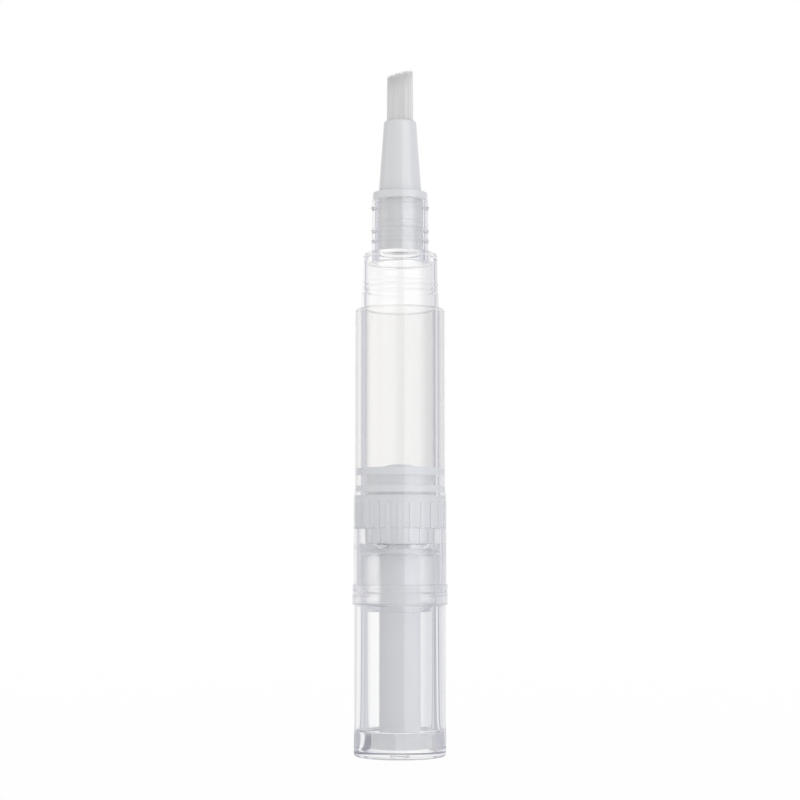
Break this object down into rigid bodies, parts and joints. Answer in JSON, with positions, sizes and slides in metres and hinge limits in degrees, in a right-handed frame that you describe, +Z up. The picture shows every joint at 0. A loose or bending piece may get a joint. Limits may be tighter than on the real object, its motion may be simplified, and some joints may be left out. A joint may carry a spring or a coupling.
{
  "type": "nail oil pen",
  "caption": "Twist-up nail oil pen standing on its clear knob, cap off: a clear barrel with a sliding piston, a screw drive and a click crown, and a slant-cut brush in a tapered nozzle.",
  "frame": {"origin": "centre of the knob's underside, where the pen stands", "axes": "+Z up along the pen towards the brush, +X towards the brush's long side, -Y towards the viewer"},
  "size_m": [0.0132, 0.0132, 0.0957],
  "materials": {
    "barrel": "clear neck and spout, fine frosted grip",
    "collar": "clear, polished",
    "thread_nut": "grey moulded",
    "knob": "clear, polished",
    "drive_tube": "pale grey moulded",
    "click_spring": "grey moulded",
    "spindle": "natural moulded",
    "piston": "grey translucent moulded",
    "nozzle": "pale grey, satin",
    "feed_tube": "natural",
    "bristles": "fine nylon strands"
  },
  "bodies": {
    "barrel": {"barrel": "barrel", "collar": "collar", "thread_nut": "thread_nut"},
    "knob": {"knob": "knob", "drive_tube": "drive_tube", "click_spring": "click_spring"},
    "spindle": {"spindle": "spindle"},
    "piston": {"piston": "piston"},
    "brush_head": {"nozzle": "nozzle", "feed_tube": "feed_tube", "bristles": "bristles"}
  },
  "joints": [
    {"name": "knob_turn", "type": "hinge", "parent": "barrel", "child": "knob", "pos_m": [0, 0, 0.0105], "axis": [0, 0, 1], "range_deg": [0, 6600], "deforming": ["click_spring"]},
    {"name": "spindle_rise", "type": "slide", "parent": "knob", "child": "spindle", "axis": [0, 0, 1], "range_m": [0, 0.0276]},
    {"name": "piston_rise", "type": "slide", "parent": "barrel", "child": "piston", "axis": [0, 0, 1], "range_m": [0, 0.0276]},
    {"name": "brush_head_pull", "type": "slide", "parent": "barrel", "child": "brush_head", "axis": [0, 0, 1], "range_m": [0, 0.012]}
  ],
  "couplings": [
    {"joint": "spindle_rise", "follows": "knob_turn", "m_per_rad": 0.00023873},
    {"joint": "piston_rise", "follows": "knob_turn", "m_per_rad": 0.00023873}
  ]
}
